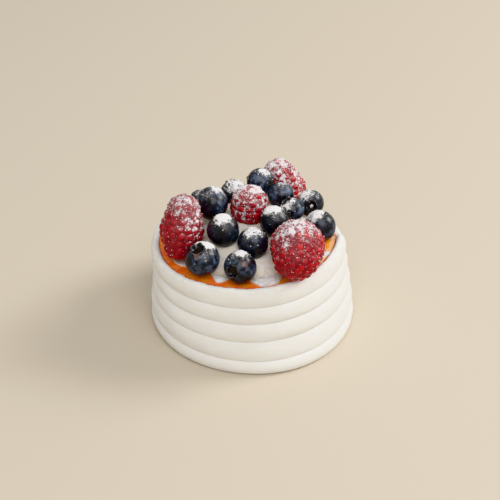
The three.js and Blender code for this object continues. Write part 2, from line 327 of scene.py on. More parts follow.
def pipe_by_hand(points):
    """The small swells and drifts of a piped wall, none in the recess. It is drawn in a little on the
    left, and its foot spreads a little at the front right."""
    radius, angle = polar(points)
    angle, height = np.degrees(angle), points[:, 2]
    wall = eased(radius, 34.5, 38)
    free = wall * eased(height, 0.5, 4)
    swell = 0.22 * hills(points * (1, 1, 2.2), 19, 3.1) + 0.1 * hills(points * (1, 1, 1.6), 6, 8.4)
    drift = 0.34 * hills(points * (1, 1, 0.4), 26, 5.7) * (1 - eased(height, 35, 38.5))
    left = bell(np.abs(angle), 180, 30) * bell(height, 23, 8)
    front_right = bell(angle, -62, 28) * (1 - eased(height, 5, 14))
    swell = free * (swell - 0.9 * left) + 0.8 * wall * front_right
    moved = points.copy()
    moved[:, :2] *= (1 + swell / np.maximum(radius, 1))[:, None]
    moved[:, 2] += free * (drift + 0.12 * hills(points, 9, 1.9) * eased(height, 36, 38))
    return moved


nest_mesh = mesh_of(turned(nest_section, 360), "piped_nest")
points = pipe_by_hand(points_of(nest_mesh))
radius, angle = polar(points)

# %% [markdown]
# The rim has caught a little sugar, and on its inner roll the spoon has left a film of curd, at the
# front left and the front right. Both are too thin to be shapes, so they are marks that the
# meringue's finish will read.

# %% Mark the sugar and the film of curd on the rim
on_rim = eased(points[:, 2], 36.3, 38.4) * eased(radius, 34, 35)
mark(nest_mesh, "sugar", np.clip(on_rim * (0.45 + 0.9 * hills(points, 2.6, 4.7)), 0, 1))
turn = np.degrees(angle) % 360
smeared = band(turn, (200, 235), (272, 281)) + 0.75 * band(turn, (290, 296), (325, 340))
ragged = radius + 0.35 * hills(points, 1.2, 3.8) + 0.25 * hills(points, 4, 6.2)
film = eased(ragged, 34.4, 34.9) * (1 - eased(ragged - 0.9 * smeared, 35.4, 35.8))
mark(nest_mesh, "film", film * (smeared > 0.02) * (points[:, 2] > 35))
move_points(nest_mesh, settle_unevenly(points))
stand_in("piped_nest", nest_mesh, "meringue_nest")

# %% [markdown]
# ## The blueberries
# A blueberry is a slightly flattened ball. At one end it keeps the five-pointed crown of its
# flower round a shallow pit, and at the other a small scar where the stem was. Here the profile
# with pit and crown is turned, and the crown's rim is then drawn out into its five points.
# Each berry is made upright about its own middle, turned to the way its crown faces, and set
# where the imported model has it.

# %% What is known of each blueberry
# the radius in millimetres, the way the crown faces, the middle of the sugar cap, how far it reaches
# from there in degrees and how thick it lies, how much bloom is left, and sugar caught in the crown
above = (0, 0, 1)
traits = ("radius", "crown", "top", "cap", "sugar", "bloom", "caught")
rows = [
    (6.8, (-0.27, -0.25, 0.93), (0.2, 0.4, 0.88), 25, 1.15, 0.85, 0),
    (6.4, (-0.49, -0.84, 0.25), (0, 0.2, 0.98), 17, 0.75, 0.85, 0),
    (6.1, (0.3, 0.85, -0.45), (-0.1, 0.1, 0.98), 26, 0.66, 0.25, 0),
    (6.5, (0.5, 0.85, -0.2), above, 19, 1.25, 0.15, 0),
    (6.4, (0.7, 0.6, 0.3), (-0.2, 0.05, 0.97), 25, 1.0, 0.1, 0),
    (6.3, (0.5, 0.8, -0.3), (-0.45, 0.1, 0.88), 27, 0.85, 0.4, 0),
    (5.4, (0.07, -0.94, 0.33), (-0.5, 0, 0.86), 30, 0.62, 0.3, 1),
    (5.1, (-0.5, 0.2, 0.8), (-0.6, -0.1, 0.8), 36, 1.0, 0.8, 0),
    (5.6, (0.2, 0.9, 0.1), above, 14, 0.5, 0.6, 0),
    (5.5, (-0.2, 0.9, 0.3), (0.1, -0.3, 0.95), 38, 0.8, 0.5, 0),
    (5.8, (-0.7, 0.6, -0.3), (0.35, 0, 0.93), 14, 0.65, 1.0, 0),
    (5.3, (0.3, 0.6, -0.7), above, 5, 0.3, 1.15, 0),
    (6.7, (0.75, 0.6, -0.2), (0.3, 0.2, 0.93), 15, 0.65, 0.7, 0),
]
blueberries = {f"blueberry_{place:02}": dict(zip(traits, row)) for place, row in enumerate(rows, 1)}
# small rust-coloured rubs on the skin, as the way they face from the berry's middle
scuffs = {"blueberry_01": (-0.29, -0.66, 0.69), "blueberry_02": (0.3, -0.63, 0.71)}
flatness = 0.9  # how tall a blueberry is for its width


# %% The blueberry's section and its crown
def blueberry_section(radius):
    height = flatness * radius
    ball = [[radius * math.sin(t), -height * math.cos(t)] for t in np.linspace(0, math.pi - 0.46, 44)]
    for point in ball:
        point[1] += 0.07 * radius * bell(point[0], 0, 0.13 * radius)
    crown = [
        [0.425, 0.925], [0.43, 0.97], [0.42, 1.02], [0.385, 1.055], [0.35, 1.05], [0.325, 1.0],
        [0.3, 0.93], [0.26, 0.86], [0.19, 0.83], [0.1, 0.835], [0.05, 0.855], [0, 0.86],
    ]
    return ball + [[radius * across, height * along] for across, along in crown]


def draw_out_crown(points, radius, seed):
    """Five points of the flower, each a little different, on the rim of the crown."""
    from_axis, angle = polar(points)
    rim = eased(points[:, 2] / (flatness * radius), 0.93, 1.03) * eased(from_axis / radius, 0.22, 0.33)
    lobe = np.abs(np.cos(2.5 * (angle + 0.1 * np.sin(angle + seed)))) ** 1.4
    uneven = 1 + 0.3 * np.sin(3 * angle + seed)
    moved = points.copy()
    moved[:, :2] *= (1 + rim * (0.16 * lobe * uneven - 0.06))[:, None]
    moved[:, 2] += rim * radius * (0.05 * lobe * uneven - 0.09 * (1 - lobe))
    return moved


# %% Make each blueberry and carry it to its place
def turned_to(points, direction):
    """Points turned from upright to a direction."""
    turn = UP.rotation_difference(Vector(direction).normalized()).to_matrix()
    return points @ np.array(turn).T


def carry_to(points, direction, node):
    """Turns points to a direction, and sets their box on the middle of the node's. Gives the shift too."""
    points = turned_to(points, direction)
    lowest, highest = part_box(node)
    middle = np.array((lowest + highest) / 2) / MILLIMETRE
    shift = middle - (points.min(0) + points.max(0)) / 2
    return points + shift, shift


berry_meshes, berry_middles, crown_marks = {}, {}, {}
for number, (node, berry) in enumerate(blueberries.items()):
    radius = berry["radius"]
    mesh = mesh_of(turned(blueberry_section(radius), 90), node + "_skin")
    points = points_of(mesh)
    across, along = polar(points)[0] / radius, points[:, 2] / (flatness * radius)
    in_crown = eased(along, 0.6, 0.83) * (1 - eased(across, 0.4, 0.46))
    on_lobe = eased(along, 0.94, 1.03) * eased(across, 0.28, 0.34)
    crown_marks[node] = in_crown, on_lobe, in_crown * (1 - eased(across, 0.1, 0.2))
    points = draw_out_crown(points, radius, 1.7 * number)
    points *= (1 + 0.018 * hills(points, radius, number))[:, None]
    points, berry_middles[node] = carry_to(points, berry["crown"], node)
    move_points(mesh, points)
    berry_meshes[node] = mesh
print(len(berry_meshes), "blueberries of about", len(mesh.vertices), "points")

# %% [markdown]
# ## The raspberries
# A raspberry is a crowd of little round fruits, the drupelets, set in rows round a blunt cone.
# They could be modelled one by one as balls, but the hidden parts of some three hundred balls
# would be wasted, and the skin has to be one. So one fine ball is made, and each of its points is
# pushed outwards until it lies on the outermost drupelet in its way. What is between the
# drupelets becomes a crease.

# %% What is known of each raspberry
# the way its tip points, the balls along its axis that give its body, the size of a drupelet and how
# deep the creases are; for the sugar, the middle of its cap, how far the cap reaches in degrees, its
# thickness, the side that has caught more, how full that side is, how far round it goes, and how far
# that sugar lies in the creases and not on the drupelets; last, how much brighter single drupelets are
raspberries = {
    "raspberry_left": dict(
        tip=(0.1, 0.5, 0.86), balls=[(8.2, 6.8), (0.8, 8.9), (-5.4, 6.6)], drupelet=3.4, relief=0.5,
        fell=(0.1, 0.35, 0.93), cap=25, sugar=0.45, held=(0.82, -0.4, 0.42), filled=1.0, steepest=0.35,
        lies=0.3, bright=0.25,
    ),
    "raspberry_centre": dict(
        tip=(0.05, 0.1, 0.99), balls=[(2.4, 7.3), (0, 7.7), (-4, 5.2)], drupelet=3.3, relief=0.62,
        fell=(-0.15, 0.35, 0.92), cap=35, sugar=0.92, held=(0, -0.3, 0.95), filled=0.62, steepest=-0.4,
        lies=1, bright=0.6,
    ),
    "raspberry_back": dict(
        tip=(-0.4, 0.15, 0.9), balls=[(4.6, 6.7), (-2.4, 8.5)], drupelet=3.1, relief=0.6,
        fell=(-0.35, 0.1, 0.93), cap=29, sugar=0.66, held=(0, -0.3, 0.95), filled=0.66, steepest=-0.45,
        lies=1, bright=0.9,
    ),
    "raspberry_front": dict(
        tip=(-0.1, -0.9, -0.25), balls=[(3.5, 9.1), (-1.3, 10.7)], drupelet=3, relief=0.42,
        fell=(0.05, 0.3, 0.95), cap=32, sugar=0.6, held=(-0.8, 0, 0.6), filled=0.66, steepest=0.35,
        lies=0.25, bright=1,
    ),
}
base_angle = math.radians(132)
row_pitch = 0.84
dome_height = 0.58
seat_jitter = 0.12
core_hollow = 0.35  # how far the hollow end goes in, as a share of the way to the middle
dice = np.random.default_rng(7)


# %% Seat the drupelets in rows
def body_outline(balls):
    """The raspberry's outline from its tip to its cut end, as pairs of across and along."""
    outline = []
    for angle in np.arange(0, base_angle + 0.01, math.radians(3)):
        along, radius = max(balls, key=lambda ball: ball[0] * math.cos(angle) + ball[1])
        outline.append((radius * math.sin(angle), along + radius * math.cos(angle)))
    return np.array(outline)


def drupelet_seats(berry):
    """The middle and the radius of every drupelet, in rows, every other row half a drupelet on."""
    outline = body_outline(berry["balls"])
    size = berry["drupelet"]
    steps = np.diff(outline, axis=0)
    run = np.concatenate([[0], np.cumsum(np.hypot(*steps.T))])
    rows = round(run[-1] / (size * row_pitch))
    middles, radii = [], []
    for row in range(rows + 1):
        at = run[-1] * row / rows
        across, along = np.interp(at, run, outline[:, 0]), np.interp(at, run, outline[:, 1])
        step = steps[min(np.searchsorted(run, at, side="right") - 1, len(steps) - 1)]
        step = step / np.hypot(*step)
        count = max(1, round(math.tau * (across - 0.25 * size) / size))
        for place in range(count):
            angle = math.tau * (place + (row % 2) / 2) / count
            outward = np.array([math.cos(angle), math.sin(angle), 0])
            facing = outward * -step[1] + np.array([0, 0, step[0]]) if row else np.array([0, 0, 1.0])
            radius = size * (dome_height + 0.04 * math.sin(7 * len(radii)))
            top = outward * across + np.array([0, 0, along])
            middles.append(top - facing * radius + dice.normal(0, seat_jitter, 3))
            radii.append(radius)
    return np.array(middles), np.array(radii)


# %% Push a fine ball out to the drupelets
def reach_of_balls(ways, middles, radii):
    """How far each way from the origin first leaves all the balls behind, and the last ball it left."""
    along = ways @ middles.T
    inside = along**2 - (middles**2).sum(1) + radii**2
    reach = np.where(inside > 0, along + np.sqrt(np.maximum(inside, 0)), 0)
    return reach.max(1), reach.argmax(1)


def body_reach(ways, balls, shrunk):
    middles = np.array([(0, 0, along) for along in np.linspace(balls[0][0], balls[-1][0], 9)])
    by_along = sorted(balls)
    radii = np.interp(middles[:, 2], [ball[0] for ball in by_along], [ball[1] for ball in by_along])
    return reach_of_balls(ways, middles, radii - shrunk)[0]


crease_depths, hull_ways, tones = {}, {}, {}
for node, berry in raspberries.items():
    ball = bmesh.new()
    bmesh.ops.create_icosphere(ball, subdivisions=7, radius=1)
    mesh = mesh_of(ball, node + "_skin")
    ways = points_of(mesh)
    middles, radii = drupelet_seats(berry)
    dome, seat = reach_of_balls(ways, middles, radii)
    hull = body_reach(ways, berry["balls"], shrunk=0)
    reach = np.maximum(dome, body_reach(ways, berry["balls"], shrunk=berry["relief"]))

    # the cut end is flat, and hollow where the core was
    end_radius, end_height = body_outline(berry["balls"])[-1]
    downward = ways[:, 2] < -0.05
    to_cut = (end_height - 0.2 * berry["drupelet"]) / np.minimum(ways[:, 2], -0.05)
    to_cut = np.where(downward, to_cut, np.inf)
    on_cut = to_cut < reach
    reach = np.minimum(reach, to_cut)
    from_axis = reach * polar(ways)[0] / end_radius
    reach *= 1 - core_hollow * on_cut * (1 - eased(from_axis, 0.35, 0.75))

    crease_depths[node] = np.clip(hull - reach, 0, 2)
    tones[node] = dice.uniform(0, 1, len(radii))[seat]
    hull_ways[node] = turned_to(ways, berry["tip"])
    points, berry_middles[node] = carry_to(ways * reach[:, None], berry["tip"], node)
    move_points(mesh, points)
    berry_meshes[node] = mesh
    print(node, "has", len(radii), "drupelets")

# %% [markdown]
# ## The icing sugar
# The sugar was sifted from above at the end. It lies where the surface faces up and nothing hangs
# over it, thick on the crests, broken into specks towards the sides, and it gathers in the creases
# of the raspberries. A painted white cap would look the same on every berry. Instead each point of
# every berry looks up, and counts how much of the sky it sees past the other berries. That share,
# the slope and some clumpiness give the amount of sugar there, which is kept in an attribute.

# %% Count the open sky above every point
def tree_of(meshes):
    """One search tree over the triangles of several meshes, for rays."""
    joined = bmesh.new()
    for mesh in meshes:
        joined.from_mesh(mesh)
    tree = BVHTree.FromBMesh(joined)
    joined.free()
    return tree


berry_tree = tree_of(berry_meshes.values())
sky_ways = [UP]
for quarter in range(4):
    turn = 0.4 + quarter * math.pi / 2
    sky_ways.append((UP + 0.3 * Vector((math.cos(turn), math.sin(turn), 0))).normalized())


def open_sky(points, outward, clear, steepest):
    """The share of the sky seen from each point, from a place that clears the berry's own skin."""
    seen = np.zeros(len(points))
    for i in np.flatnonzero(outward[:, 2] > steepest):
        start = Vector(points[i] + clear * outward[i])
        blocked = sum(berry_tree.ray_cast(start, way)[0] is not None for way in sky_ways)
        seen[i] = 1 - blocked / len(sky_ways)
    return seen


# %% Sift the sugar over the blueberries
def cap_of(slope, degrees, thickness):
    """Full well within the cap, fading to nothing some 24 degrees outside it."""
    edge = math.radians(degrees)
    return thickness * eased(slope, math.cos(edge + 0.42), math.cos(max(0.02, edge - 0.2)))


def towards(direction):
    return np.array(Vector(direction).normalized())


for node, berry in blueberries.items():
    mesh = berry_meshes[node]
    points, normals = points_of(mesh), normals_of(mesh)
    sky = open_sky(points, normals, clear=0.15, steepest=-0.1)
    ball_ways = points - berry_middles[node]
    ball_ways /= np.linalg.norm(ball_ways, axis=1)[:, None]
    slope = ball_ways[:, 2]
    in_crown, on_lobe, pit_middle = crown_marks[node]
    ragged = ball_ways @ towards(berry["top"])
    ragged += 0.06 * hills(points, 1.1, 3.9) + 0.07 * hills(points, 2.6, 8.1)
    sugar = cap_of(ragged, berry["cap"], berry["sugar"]) * (0.95 + 0.5 * hills(points, 1.6, 4.4))
    sugar += 0.24 * eased(slope, 0.2, 0.95) * (0.7 + 1.3 * hills(points, 3.1, 2.2))
    sugar = sugar * (1 - 0.9 * in_crown) * sky + berry["caught"] * pit_middle
    mark(mesh, "sky", sky)
    mark(mesh, "sugar", np.clip(sugar, 0, 1.15))
    mark(mesh, "crown", in_crown)
    mark(mesh, "lobe", on_lobe * (0.7 + 0.8 * hills(points, 1.0, 5.1)))
    bloom = berry["bloom"] * (0.5 + 1.5 * hills(points, 4.5, 9.1)) * (1 - in_crown)
    # painted shade: less bloom towards the underside keeps the lower half dark and the top lighter
    bloom *= 0.4 + 0.75 * eased(slope, -0.55, 0.25)
    mark(mesh, "bloom", np.clip(bloom, 0, 1))
    rub = np.zeros(len(points))
    if node in scuffs:
        facing = ball_ways @ towards(scuffs[node])
        rub = eased(facing, 0.972, 0.995) * np.clip(0.7 + 0.9 * hills(points, 0.9, 6.6), 0, 1)
    mark(mesh, "scuff", rub)
    lift = 0.3 * eased(sugar, 0.35, 1.0) * (0.6 + 0.8 * hills(points, 0.9, 7.7))
    move_points(mesh, points + normals * (lift * (1 - in_crown))[:, None])

# %% Sift the sugar over the raspberries
for node, berry in raspberries.items():
    mesh = berry_meshes[node]
    points, normals = points_of(mesh), normals_of(mesh)
    sky = open_sky(points, hull_ways[node], clear=1.6, steepest=-0.6)
    slope = hull_ways[node] @ towards(berry["fell"])
    crease = eased(crease_depths[node] / berry["relief"], 0.35, 1)
    shelf = eased(normals[:, 2], 0.3, 0.8)
    ragged = slope + 0.1 * hills(points, 2.2, 3.9) + 0.1 * hills(points, 5, 8.1)
    cap = cap_of(ragged, berry["cap"], berry["sugar"]) * (0.7 + 0.4 * crease + 0.7 * hills(points, 2.4, 3.4))
    low = berry["steepest"]
    side = hull_ways[node] @ towards(berry["held"]) + 0.12 * hills(points, 2.5, 6.6)
    caught = berry["filled"] * eased(side, low, low + 0.6) * np.maximum(berry["lies"] * crease, 0.85 * shelf)
    caught *= 0.75 + 0.8 * hills(points, 3.5, 1.4)
    specks = 0.17 * eased(hull_ways[node][:, 2], -0.7, 0.6) * (0.8 + 1.2 * hills(points, 2.8, 5.2))
    sugar = (np.maximum(cap, caught) + specks) * (0.2 + 0.8 * sky)
    mark(mesh, "sky", sky)
    mark(mesh, "sugar", np.clip(sugar, 0, 1.15))
    mark(mesh, "crease", crease)
    mark(mesh, "tone", tones[node] * berry["bright"])
    lift = (0.08 + 0.2 * crease) * eased(sugar, 0.4, 1.0) * (0.7 + 0.7 * hills(points, 0.9, 7.7))
    move_points(mesh, points + normals * lift[:, None])

# %% [markdown]
# ## The orange curd
# The curd fills the recess and shows as a bright ring between the cream and the nest. It was poured
# warm, so it is smooth and glossy and climbs a little where it wets the meringue. It is turned like
# the nest, with a hollow that is drawn out to the lobes of the cream lying in it.

# %% How far the cream reaches over the curd
gap = 0.3
curd_level = 37.8
cream_sole = 35.2
cream_crown = 9
cream_reach = 28.5
# flat tongues of cream that run out over the curd: degrees from +X, half-width in degrees, added reach
cream_tongues = [
    (22, 14, 2.4), (58, 10, 2), (97, 16, 3.2), (150, 13, 2.8),
    (209, 13, 4), (250, 6, 4.7), (284.5, 11, 7.4), (326, 10, 7.4),
]
# the nest's wall stops the longest tongues, and the hollow for them in the curd ends a little sooner
cream_limit = 34.3
hollow_limit = 33.8
# where the sugar lies in a heap at the cream's edge: degrees from +X, half-width in degrees
sugar_heaps = [(250, 6), (284, 11)]


def lobe_at(angle, degrees, half_width):
    """1 at a bearing in degrees, fading to both sides of it."""
    return bell((np.degrees(angle) - degrees + 180) % 360 - 180, 0, half_width)


def cream_edge(angle):
    reach = np.full(angle.shape, float(cream_reach))
    for degrees, half_width, added in cream_tongues:
        reach += added * lobe_at(angle, degrees, half_width)
    return np.minimum(reach, cream_limit)


# %% Pour the curd
def wall_at(height):
    """How wide the recess is at a height, less a gap as thin as a hair."""
    share = (height - recess_floor) / (rim_height - 0.8 - recess_floor)
    return recess_radius + share * (rim_inner_radius - recess_radius) - 0.12


hollow = 1
climb = 0.5
bottom = recess_floor + gap
wall = wall_at(curd_level)
curd_section = [[0, bottom], [15, bottom], [wall_at(recess_floor), bottom]]
curd_section += [[wall_at(height), height] for height in np.linspace(32, curd_level + climb, 12)]
for inward in (0.1, 0.25, 0.45, 0.7, 1, 1.4):
    curd_section.append([wall - inward, curd_level + climb * math.exp(-inward / 0.5)])
curd_section += [[radius, curd_level] for radius in np.linspace(wall - 1.9, hollow, 26)]
curd_section += [[hollow, cream_sole - gap], [0, cream_sole - gap]]
curd_mesh = mesh_of(turned(curd_section, 300), "curd_pool")
points = points_of(curd_mesh)
radius, angle = polar(points)
top = (radius > 0.5) & (points[:, 2] > curd_level - 0.01) | (np.abs(radius - hollow) < 0.01)
hollow_edge = np.minimum(cream_edge(angle) - 0.15, hollow_limit)
drawn = hollow_edge + (radius - hollow) / (wall - hollow) * (wall - hollow_edge)
points[:, :2] *= np.where(top, drawn / np.maximum(radius, 0.5), 1)[:, None]
surface = top & (points[:, 2] > curd_level - 0.01)
points[:, 2] += surface * (0.13 * hills(points, 3.4, 2.7) + 0.05 * hills(points, 1.2, 5.5))

# %% Mark the curd's band along the wall, its painted lighter side, where it is pale, and where it is dusted
reach = polar(points)[0]
ragged = reach + 0.6 * hills(points, 2, 3.1)
# the band along the wall: the curd runs thin there, and the darker red is also painted shade in the join
mark(curd_mesh, "thin_edge_and_shade", eased(radius, wall - 1, wall) * top)
# painted highlight: the curd is made lighter towards the right, where the soft box shines
mark(curd_mesh, "bright", eased(points[:, 0], 4, 28))
# pale near the wall on the right: cream stirred into the curd, and a painted highlight there too
mark(curd_mesh, "pale", eased(points[:, 0], 18, 30) * eased(ragged, 32.6, 33.8))
smear = bell(np.degrees(angle) % 360, 336, 3.5) * eased(reach, 32, 32.8)
curd_dust = 0.1 + 0.2 * hills(points, 3, 7.2) + smear * (0.8 + 0.4 * hills(points, 1.5, 5.2))
mark(curd_mesh, "sugar", surface * np.clip(curd_dust, 0, 1))
climbed = eased(points[:, 2], curd_level + 0.1, curd_level + climb) * eased(radius, wall - 0.7, wall - 0.3)
points[:, 2] += 0.35 * climbed * hills(points * (1, 1, 0), 2.2, 6.3)
move_points(curd_mesh, settle_unevenly(points))
print("the longest tongues of cream reach", round(cream_limit - cream_reach, 1), "mm over the curd")

# %% [markdown]
# ## The whipped cream
# The cream is a soft mound that was spooned on and spread, with lobes that run out over the curd.
# Its surface has slow swells, and every berry has pressed its own print into it.
# The print could be cut out with booleans. It is simpler and softer to let each point of the mound
# look up for the berry above it, and to pull the point down until it is clear.

# %% Spread the cream
# the section is in shares of the way out to the cream's edge, and its heights are in millimetres
cream_shares = np.concatenate([1 - 0.5 * np.linspace(0, 1, 40) ** 1.6, np.linspace(0.49, 0, 46)])
cream_section = [[share, cream_sole] for share in (0, 0.5, 0.98)]
cream_section += [[1, cream_sole + 0.4], [1, curd_level + 0.02]]
cream_section += [[share, curd_level + 1 + share] for share in cream_shares]
cream_mesh = mesh_of(turned(cream_section, 300), "cream_mound")
points = points_of(cream_mesh)
share, angle = polar(points)
upper = points[:, 2] > curd_level + 0.5
ring = np.column_stack([20 * np.cos(angle), 20 * np.sin(angle), 0 * angle])
radius = share * (cream_edge(angle) + 0.35 * hills(ring, 2.2, 6.1))
mound = cream_crown * (1 - np.minimum(radius / cream_reach, 1) ** 2) ** 0.65
tongue = 0.75 * np.sqrt(np.clip(1 - share**6, 0, 1))
points[:, 2] = np.where(upper, curd_level + 0.05 + np.maximum(tongue, mound + 0.45), points[:, 2])
points[:, 0], points[:, 1] = radius * np.cos(angle), radius * np.sin(angle)
swells = 0.3 * hills(points, 7, 1.1) + 0.14 * hills(points, 2.6, 4.2)
points[:, 2] += upper * swells * eased(1 - share, 0.01, 0.1)
heaped = sum(lobe_at(angle, degrees, half_width) for degrees, half_width in sugar_heaps)
heaped *= upper * eased(radius, 28.8, 30.4) * np.clip(0.8 + 0.8 * hills(points, 1.3, 8.8), 0, 1)
points[:, 2] += 0.6 * heaped * eased(1 - share, 0.01, 0.04)
points = settle_unevenly(points)

# %% Press the berries in
print_gap = 0.03
lip_height, lip_width = 0.3, 0.8
berry_tree = tree_of(berry_meshes.values())
for i in np.flatnonzero(upper):
    near = berry_tree.find_nearest(Vector(points[i]), 2 * lip_width)
    if near[0] is not None:
        points[i, 2] += lip_height * math.exp(-((near[3] / lip_width) ** 2))
    under = berry_tree.ray_cast(Vector((points[i, 0], points[i, 1], cream_sole)), UP)[0]
    if under is not None:
        points[i, 2] = min(points[i, 2], under.z - print_gap)
move_points(cream_mesh, points)
print("the cream stands", round(points[:, 2].max(), 1), "mm high")

# %% Mark the sugar on the cream, and the painted shade along the fold where its last tongues begin
upwards = np.tile((0, 0, 1), (len(points), 1))
sky = open_sky(points, upwards, clear=0.15, steepest=0) * upper
mark(cream_mesh, "sky", sky)
# painted shade: a thin tan line along the fold between the mound and its last tongues
fold_shade = bell(radius, 28.6, 0.45) * eased(np.degrees(angle) % 360, 238, 246)
fold_shade *= upper * np.clip(0.5 + 1.2 * hills(points, 2.2, 7.9), 0, 1)
mark(cream_mesh, "fold_shade", fold_shade)
cream_dust = sky * (0.3 + 0.7 * eased(radius, 27.5, 29)) * (0.8 + 0.9 * hills(points, 2.2, 3.3)) + heaped
mark(cream_mesh, "sugar", np.clip(cream_dust, 0, 1))

# %% [markdown]
# ## Loose sugar
# Where the sugar thins out it lies in single grains and small clumps. A pattern in a finish would
# be flat, so these are real crumbs: one rough ball of twenty faces, doubled until there are enough,
# and each set down on a face of a berry, the cream or the curd. Most fall near the edges of the
# patches, and none where a berry keeps the sky out.

# %% Choose where the crumbs fall
crumb_doublings = 12
crumb_count = 2**crumb_doublings


def at_faces(mesh, name):
    """An attribute at the first corner of every face."""
    values = rows_of(mesh.attributes[name].data, "value", 1)[:, 0]
    corners, starts = np.empty(len(mesh.loops), np.int32), np.empty(len(mesh.polygons), np.int32)
    mesh.loops.foreach_get("vertex_index", corners)
    mesh.polygons.foreach_get("loop_start", starts)
    return values[corners[starts]]


def landing_places(mesh, everywhere, at_edges, steepest):
    """Middles and normals of the faces, and how likely a crumb is to land on each."""
    faces = mesh.polygons
    middles, normals, areas = rows_of(faces, "center"), rows_of(faces, "normal"), rows_of(faces, "area", 1)
    edge = bell(at_faces(mesh, "sugar"), 0.45, 0.22)
    level = eased(normals[:, 2], steepest, steepest + 1)
    return middles, normals, areas[:, 0] * at_faces(mesh, "sky") * level * (everywhere + at_edges * edge)


curd_sky = open_sky(points_of(curd_mesh), normals_of(curd_mesh), clear=0.15, steepest=0.5)
mark(curd_mesh, "sky", curd_sky)
# how likely a crumb is to land anywhere, how much likelier at the edge of a patch, and how steeply
habits = [(berry_meshes[node], 0.07, 1.2, -0.2) for node in blueberries]
habits += [(berry_meshes[node], 0.4, 0.6, -0.7) for node in raspberries]
habits += [(cream_mesh, 0.35, 0.5, 0), (curd_mesh, 0.2, 0.5, 0)]
landings = zip(*(landing_places(*habit) for habit in habits))
middles, normals, chances = (np.concatenate(parts) for parts in landings)
picked = dice.choice(len(chances), crumb_count, p=chances / chances.sum())
print(crumb_count, "crumbs on", len(np.unique(picked)), "faces")

# %% Make the crumbs
smallest_crumb, crumb_range = 0.075, 0.17
crumbs = bmesh.new()
bmesh.ops.create_icosphere(crumbs, subdivisions=1, radius=1)
corners_each = len(crumbs.verts)
for _ in range(crumb_doublings):
    bmesh.ops.duplicate(crumbs, geom=crumbs.verts[:] + crumbs.edges[:] + crumbs.faces[:])
crumb_mesh = mesh_of(crumbs, "icing_sugar")
crumb_sizes = smallest_crumb + crumb_range * dice.uniform(0, 1, crumb_count) ** 2.5
places = middles[picked] + dice.uniform(-0.2, 0.2, (crumb_count, 3))
places += normals[picked] * 0.3 * crumb_sizes[:, None]
rough = dice.uniform(0.7, 1.25, (crumb_count, corners_each, 1))
balls = points_of(crumb_mesh).reshape(crumb_count, corners_each, 3) * rough * crumb_sizes[:, None, None]
move_points(crumb_mesh, (balls + places[:, None]).reshape(-1, 3))
print("crumbs of", round(2 * crumb_sizes.min(), 2), "to", round(2 * crumb_sizes.max(), 2), "mm")

# %% [markdown]
# With the sugar down, nothing needs the berries in millimetres any longer, and all pieces take
# their places.

# %% Put the filling, the berries and the sugar in their places
stand_in("curd_pool", curd_mesh, "orange_curd")
stand_in("cream_mound", cream_mesh, "whipped_cream")
for node in blueberries:
    stand_in(node + "_skin", berry_meshes[node], node)
for node in raspberries:
    stand_in(node + "_skin", berry_meshes[node], node)
put_in_scene("icing_sugar", crumb_mesh)

# %% [markdown]
# ## Finishes
# Two effects are used by more than one finish, so each is a node group that is built once: a slow
# drift between two tones, and sifted sugar that breaks up into grains at its edge.

# %% Helpers for node groups
def new_group(name, inputs, outputs):
    """A shader node group with named sockets: colours for inputs of four numbers and for the output
    Color, and plain numbers for the others. Gives the group and its two ends."""
    tree = bpy.data.node_groups.new(name, "ShaderNodeTree")
    kinds = {True: "NodeSocketColor", False: "NodeSocketFloat"}
    for label, value in inputs.items():
        kind = kinds[isinstance(value, tuple)]
        tree.interface.new_socket(label, in_out="INPUT", socket_type=kind).default_value = value
    for label in outputs:
        tree.interface.new_socket(label, in_out="OUTPUT", socket_type=kinds[label == "Color"])
    return tree, tree.nodes.new("NodeGroupInput").outputs, tree.nodes.new("NodeGroupOutput").inputs


def add_node(tree, kind, **settings):
    node = tree.nodes.new(kind)
    for name, value in settings.items():
        setattr(node, name, value)
    return node


def feed(tree, socket, value):
    """Links a socket to another one, or sets it to a plain value."""
    if isinstance(value, bpy.types.NodeSocket):
        tree.links.new(value, socket)
    else:
        socket.default_value = value


def maths(tree, operation, first, second):
    node = add_node(tree, "ShaderNodeMath", operation=operation)
    feed(tree, node.inputs[0], first)
    feed(tree, node.inputs[1], second)
    return node.outputs[0]


def times(tree, first, second):
    return maths(tree, "MULTIPLY", first, second)


def plus(tree, first, second):
    return maths(tree, "ADD", first, second)


def stepped(tree, value, low, high):
    """A smooth step of a value from 0 at low to 1 at high."""
    node = add_node(tree, "ShaderNodeMapRange", interpolation_type="SMOOTHSTEP")
    tree.links.new(value, node.inputs["Value"])
    node.inputs["From Min"].default_value = low
    node.inputs["From Max"].default_value = high
    return node.outputs["Result"]


def blended(tree, factor, first, second):
    """A colour between two, each a socket or a plain colour."""
    # a mix of colours has its factor at 0 and the two colours at 6 and 7
    node = add_node(tree, "ShaderNodeMix", data_type="RGBA")
    for place, value in ((0, factor), (6, first), (7, second)):
        feed(tree, node.inputs[place], value)
    return node.outputs[2]


def noise_at(tree, scale, detail, roughness=0.5):
    """Noise in the object's own space. The scale counts hills per metre."""
    place = add_node(tree, "ShaderNodeTexCoord")
    node = add_node(tree, "ShaderNodeTexNoise")
    tree.links.new(place.outputs["Object"], node.inputs["Vector"])
    feed(tree, node.inputs["Scale"], scale)
    node.inputs["Detail"].default_value = detail
    node.inputs["Roughness"].default_value = roughness
    return node.outputs["Fac"]


# %% A slow drift between two tones
group, given, result = new_group(
    "tone_drift",
    {"First Tone": (1, 1, 1, 1), "Second Tone": (0, 0, 0, 1), "Hills per Metre": 100, "Contrast": 1},
    ["Color", "Mask"],
)
drift_group = group
field = noise_at(group, given["Hills per Metre"], 4, 0.55)
spread = times(group, maths(group, "SUBTRACT", field, 0.5), given["Contrast"])
mask = stepped(group, spread, -0.25, 0.25)
feed(group, result["Mask"], mask)
feed(group, result["Color"], blended(group, mask, given["First Tone"], given["Second Tone"]))

